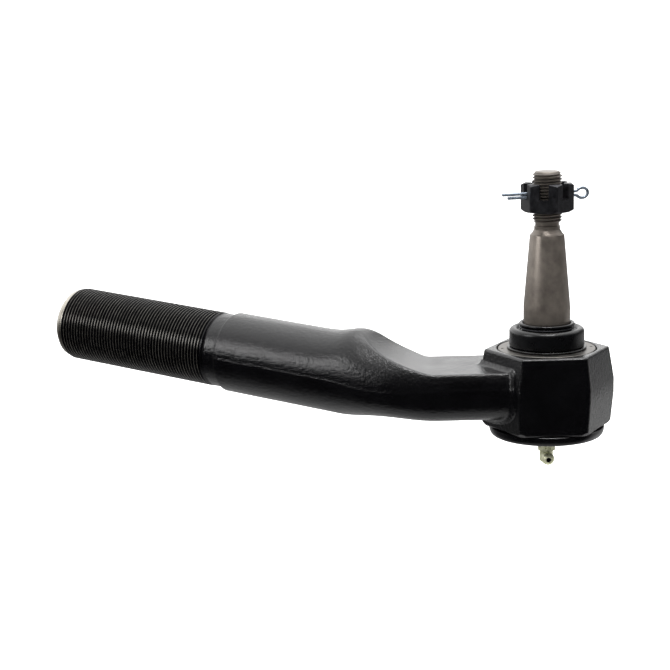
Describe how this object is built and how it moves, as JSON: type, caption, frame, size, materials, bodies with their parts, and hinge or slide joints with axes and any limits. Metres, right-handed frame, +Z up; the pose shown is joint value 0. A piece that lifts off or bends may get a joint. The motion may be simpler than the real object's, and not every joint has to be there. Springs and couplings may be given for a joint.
{
  "type": "tie rod end",
  "caption": "Forged tie rod end with a hexagonal ball housing, bent threaded shank, tapered ball stud, castle nut and dust boot.",
  "frame": {"origin": "centre of the ball, on the stud's axis", "axes": "+Z up along the stud's axis at rest; the neck leaves the housing along -X, and the shank then bends towards +Y"},
  "size_m": [0.2815, 0.1402, 0.142],
  "materials": {
    "black_forged_steel": "gloss black coating over a forged surface",
    "acetal_race": "moulded acetal",
    "spring_steel": "bright spring steel",
    "black_cover_steel": "satin black coating on pressed steel",
    "rubber": "moulded rubber with a slight sheen",
    "grey_plate_steel": "grey phosphated plate",
    "phosphated_steel": "machined and phosphated",
    "black_oxide_steel": "black oxide with an oiled sheen",
    "zinc_plate": "bright zinc plating",
    "yellow_zinc_plate": "pale yellow-green zinc plating"
  },
  "bodies": {
    "housing": {"forged_body": "black_forged_steel", "upper_race": "acetal_race", "preload_spring": "spring_steel", "spring_shim": "spring_steel", "end_cover": "black_cover_steel", "cover_o_ring": "rubber", "retaining_plate": "grey_plate_steel", "plate_seal": "rubber", "boot_base_ring": "spring_steel", "grease_fitting": "yellow_zinc_plate", "fitting_washer": "spring_steel", "fitting_check_spring": "spring_steel"},
    "pressure_seat": {"lower_race": "acetal_race"},
    "boot_flex": {"boot_skirt": "rubber"},
    "boot_neck": {"boot_collar": "rubber", "boot_top_band": "spring_steel"},
    "stud": {"ball_stud": "phosphated_steel", "castle_nut": "black_oxide_steel"},
    "split_pin": {"cotter_pin": "zinc_plate"},
    "check_ball": {"fitting_check_ball": "spring_steel"}
  },
  "joints": [
    {"name": "seat_take_up", "type": "slide", "parent": "housing", "child": "pressure_seat", "axis": [0, 0, 1], "range_m": [-0.00025, 0], "stiffness_N_per_m": 4000, "springref_m": 0.00005, "deforming": ["preload_spring"]},
    {"name": "stud_tilt_along", "type": "hinge", "parent": "housing", "child": "boot_flex", "pos_m": [0, 0, 0], "axis": [0, 1, 0], "range_deg": [-13, 13], "deforming": ["boot_skirt"]},
    {"name": "stud_tilt_across", "type": "hinge", "parent": "boot_flex", "child": "boot_neck", "pos_m": [0, 0, 0], "axis": [1, 0, 0], "range_deg": [-13, 13]},
    {"name": "stud_spin", "type": "hinge", "parent": "boot_neck", "child": "stud", "pos_m": [0, 0, 0], "axis": [0, 0, 1], "continuous": true},
    {"name": "cotter_pin_pull", "type": "slide", "parent": "stud", "child": "split_pin", "axis": [0.9703, 0.2419, 0], "range_m": [0, 0.036]},
    {"name": "grease_check", "type": "slide", "parent": "housing", "child": "check_ball", "axis": [0, 1, 0], "range_m": [0, 0.00025], "stiffness_N_per_m": 60, "springref_m": -0.0004}
  ]
}
